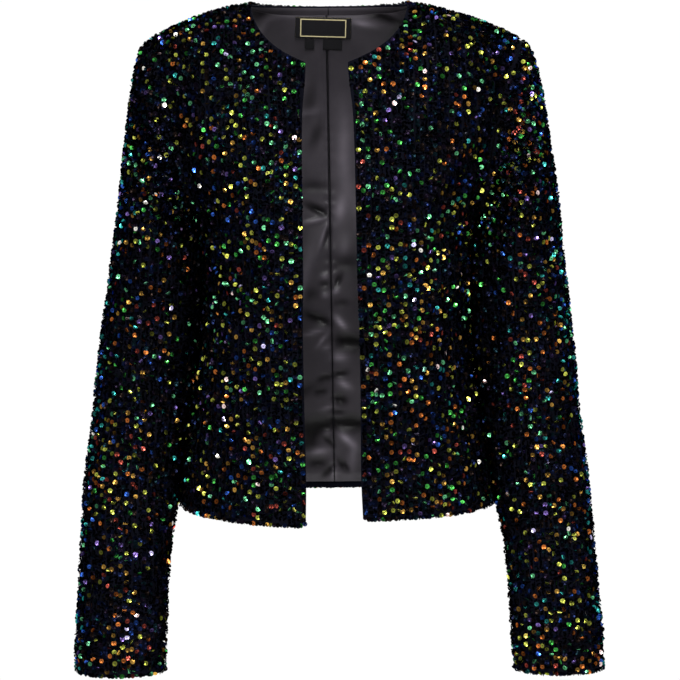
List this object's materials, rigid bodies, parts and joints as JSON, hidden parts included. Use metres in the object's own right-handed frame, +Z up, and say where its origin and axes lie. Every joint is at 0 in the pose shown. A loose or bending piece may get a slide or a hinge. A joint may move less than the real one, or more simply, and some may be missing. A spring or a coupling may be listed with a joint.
{
  "type": "sequin jacket",
  "caption": "Cropped collarless open-front jacket of dark sequinned cloth with long set-in sleeves, filled out as worn with nobody inside.",
  "frame": {"origin": "midway between the two shoulder seams, on the wearer's centre plane, 18 mm below the seams' neck ends", "axes": "+Z up, -Y the way the wearer faces, +X the wearer's left, which is image right in the picture"},
  "size_m": [0.5267, 0.2392, 0.6618],
  "materials": {
    "outer_cloth": "black velvety net covered in near-black sequins that glint orange, gold, green and blue",
    "lining": "charcoal satin",
    "label": "black woven tape, bare"
  },
  "bodies": {
    "root": {"back": "outer_cloth", "front_left": "outer_cloth", "front_right": "outer_cloth", "sleeve_left": "outer_cloth", "sleeve_right": "outer_cloth", "lining_back_left": "lining", "lining_back_right": "lining", "neck_label": "label", "size_tab": "label", "care_tab": "label"}
  },
  "joints": []
}
